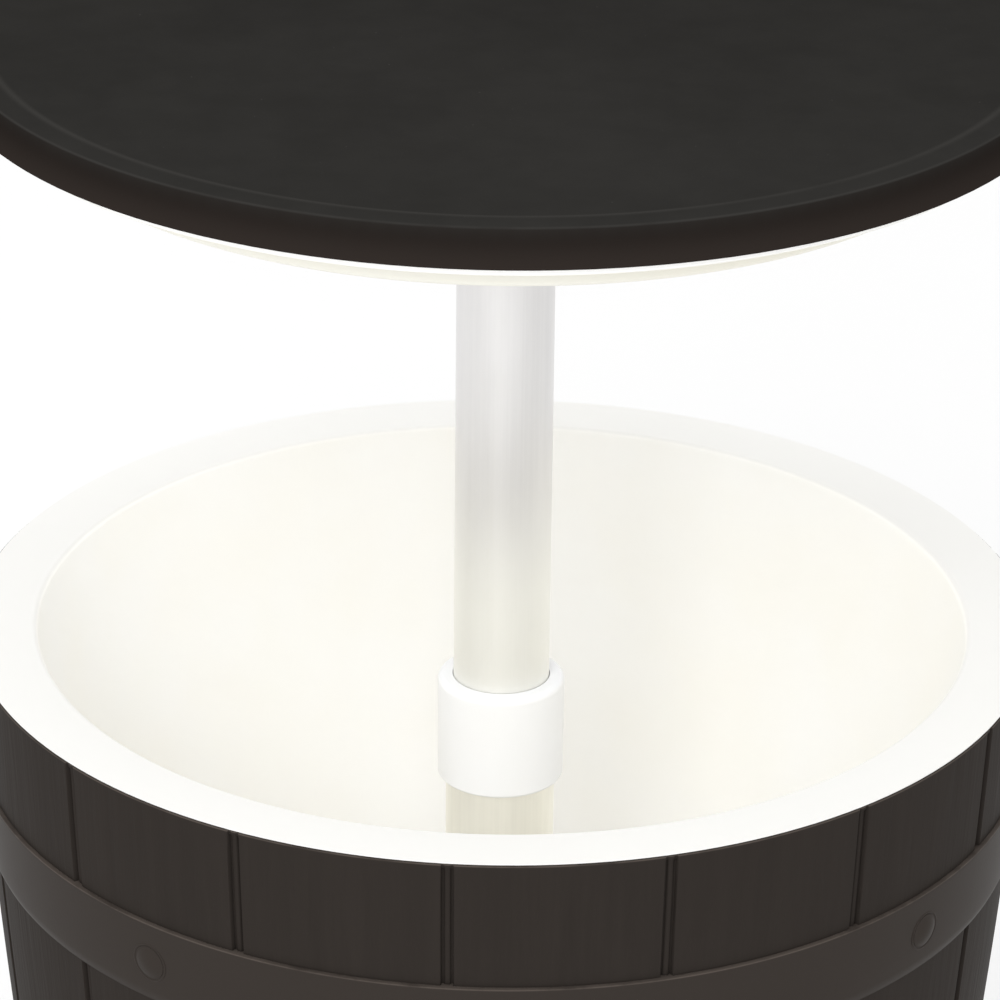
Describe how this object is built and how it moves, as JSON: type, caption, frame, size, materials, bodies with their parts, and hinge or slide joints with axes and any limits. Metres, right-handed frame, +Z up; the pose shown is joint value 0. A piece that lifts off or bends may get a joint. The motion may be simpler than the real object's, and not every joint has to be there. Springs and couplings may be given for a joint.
{
  "type": "cooler table with lid",
  "caption": "Barrel-shaped drinks cooler whose round lid lifts on a central telescopic pole to become a standing table, with a locking collar and a drain plug.",
  "frame": {"origin": "middle of the barrel's foot ring, on the ground", "axes": "+Z up along the pole, -Y towards the front that the picture shows, +X to its right"},
  "size_m": [0.4948, 0.4948, 0.8409],
  "materials": {
    "black_plastic": "matt black-brown, grained on the staves and fine-textured on the top",
    "white_plastic": "smooth, satin, warm white",
    "aluminium": "satin, drawn tube",
    "grey_plastic": "plain grey, hidden in the tube",
    "rubber": "plain",
    "steel": "plain, zinc"
  },
  "bodies": {
    "barrel": {"barrel_shell": "black_plastic", "tub_liner": "white_plastic", "tube_seal": "rubber", "sleeve_cap": "white_plastic", "lower_tube": "aluminium", "tube_foot_plug": "grey_plastic", "tube_foot_screw": "steel", "clamp_bush": "grey_plastic", "bush_screws": "steel", "drain_pipe": "white_plastic"},
    "guide": {"guide_bush": "grey_plastic"},
    "table": {"upper_pole": "aluminium", "pole_end_plug": "grey_plastic", "lid_hub": "white_plastic", "pole_screws": "steel", "hub_screws": "steel", "liner_screws": "steel", "tabletop": "black_plastic", "lid_liner": "white_plastic"},
    "collar": {"lock_collar": "white_plastic"},
    "plug": {"drain_plug": "white_plastic", "plug_seal": "rubber"}
  },
  "joints": [
    {"name": "table_lift", "type": "slide", "parent": "barrel", "child": "guide", "axis": [0, 0, 1], "range_m": [-0.265, 0]},
    {"name": "table_turn", "type": "hinge", "parent": "guide", "child": "table", "pos_m": [0, 0, 0.446], "axis": [0, 0, 1], "continuous": true},
    {"name": "collar_turn", "type": "hinge", "parent": "barrel", "child": "collar", "pos_m": [0, 0, 0.49], "axis": [0, 0, 1], "range_deg": [0, 45]},
    {"name": "drain_pull", "type": "slide", "parent": "barrel", "child": "plug", "axis": [0, 0, 1], "range_m": [0, 0.04]}
  ]
}
